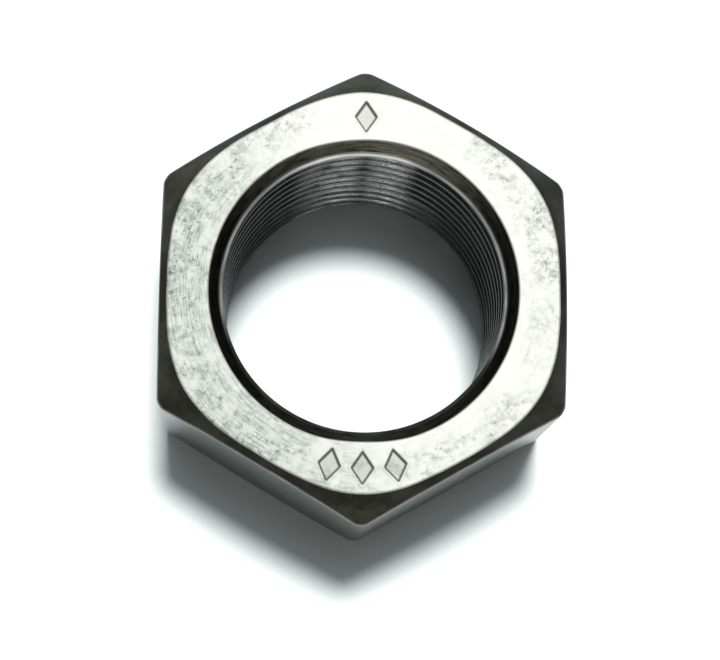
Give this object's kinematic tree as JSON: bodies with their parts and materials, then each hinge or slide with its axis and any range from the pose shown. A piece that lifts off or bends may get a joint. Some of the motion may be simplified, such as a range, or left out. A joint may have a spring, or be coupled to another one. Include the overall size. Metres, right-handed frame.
{
  "type": "hex nut",
  "caption": "Hexagon nut with a metric fine internal thread, countersunk at both mouths and chamfered on both bearing faces.",
  "frame": {"origin": "middle of the lower bearing face, on the thread's axis", "axes": "+Z along the thread's axis towards the stamped upper bearing face, +X square to one flat, +Y through a corner"},
  "size_m": [0.0296, 0.0338, 0.0165],
  "materials": {
    "steel": "bright faced bearing surfaces, dark oxidised chamfers and countersinks, grey flats, machined thread"
  },
  "bodies": {
    "root": {"nut": "steel"}
  },
  "joints": []
}
